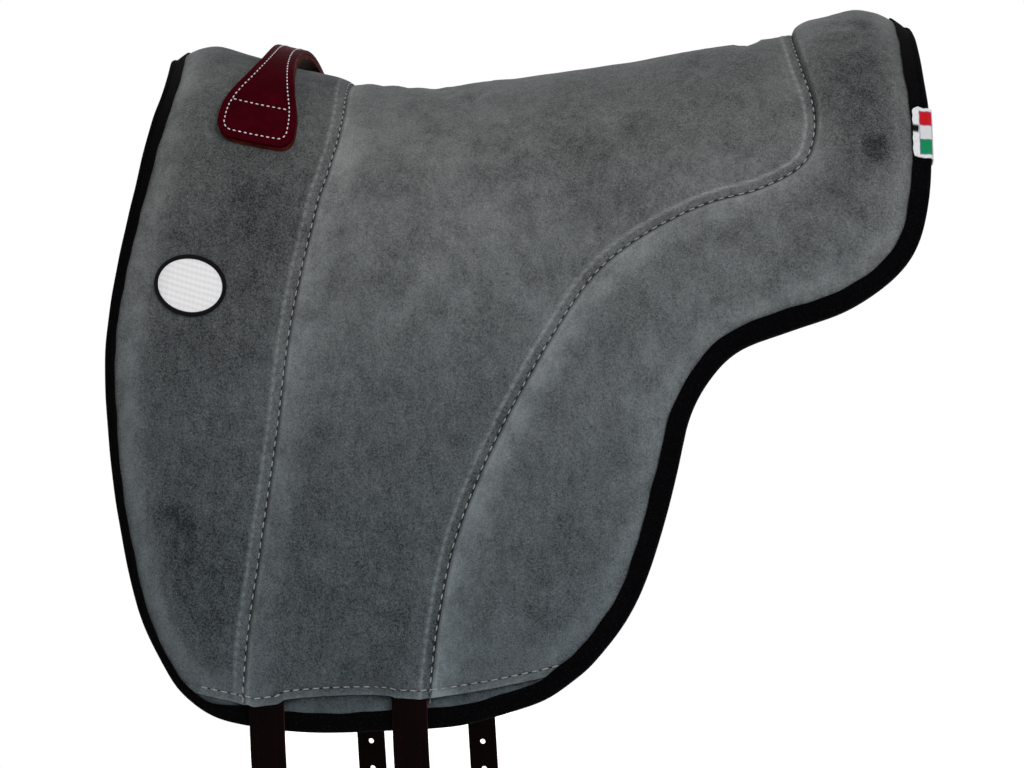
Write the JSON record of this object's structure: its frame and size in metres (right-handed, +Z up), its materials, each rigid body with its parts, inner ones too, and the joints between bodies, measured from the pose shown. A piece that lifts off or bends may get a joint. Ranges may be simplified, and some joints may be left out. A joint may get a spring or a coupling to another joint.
{
  "type": "bareback pad",
  "caption": "Padded suede bareback pad for a horse, with sewn foam-filled panels, a bound edge, an arched leather grab handle over the withers and hanging leather billet straps.",
  "frame": {"origin": "on the underside of the lining, on the spine line, at the lowest point of the seat", "axes": "-X towards the withers (front), +X towards the loin (rear), -Y the near side, +Y the far side, +Z up"},
  "size_m": [0.6137, 0.3928, 0.7975],
  "materials": {
    "grey_suede": "mid-grey suede with a mottled nap",
    "dark_grey_suede": "darker grey suede",
    "foam": "soft open-cell foam",
    "lining_felt": "dark felted fleece",
    "black_tape": "matt black fine-ribbed tape",
    "nylon_webbing": "flat black webbing",
    "tan_leather": "natural tan leather with raw edges",
    "burgundy_leather": "smooth burgundy leather, soft sheen",
    "dark_brown_leather": "smooth dark brown leather",
    "white_embroidery": "white woven and embroidered thread"
  },
  "bodies": {
    "pad": {"front_panel": "grey_suede", "seat_panel": "grey_suede", "rear_panel": "grey_suede", "front_foam": "foam", "seat_foam": "foam", "rear_foam": "foam", "lining": "lining_felt", "lower_strip_near": "dark_grey_suede", "lower_strip_far": "dark_grey_suede", "edge_binding": "black_tape", "girth_web_front": "nylon_webbing", "girth_web_rear": "nylon_webbing", "handle_inner": "tan_leather", "handle_outer": "burgundy_leather", "badge_patch": "white_embroidery", "edge_label": "white_embroidery"},
    "billet_near_front": {"billet_near_front": "dark_brown_leather"},
    "billet_near_rear": {"billet_near_rear": "dark_brown_leather"},
    "billet_far_front": {"billet_far_front": "dark_brown_leather"},
    "billet_far_rear": {"billet_far_rear": "dark_brown_leather"}
  },
  "joints": [
    {"name": "billet_near_front_swing", "type": "hinge", "parent": "pad", "child": "billet_near_front", "pos_m": [-0.15833, -0.19109, -0.4301], "axis": [-1, 0, 0], "range_deg": [0, 110]},
    {"name": "billet_near_rear_swing", "type": "hinge", "parent": "pad", "child": "billet_near_rear", "pos_m": [-0.0552, -0.19027, -0.42684], "axis": [-1, 0, 0], "range_deg": [0, 110]},
    {"name": "billet_far_front_swing", "type": "hinge", "parent": "pad", "child": "billet_far_front", "pos_m": [-0.15833, 0.19118, -0.43009], "axis": [1, 0, 0], "range_deg": [0, 110]},
    {"name": "billet_far_rear_swing", "type": "hinge", "parent": "pad", "child": "billet_far_rear", "pos_m": [-0.0552, 0.19027, -0.42684], "axis": [1, 0, 0], "range_deg": [0, 110]}
  ]
}
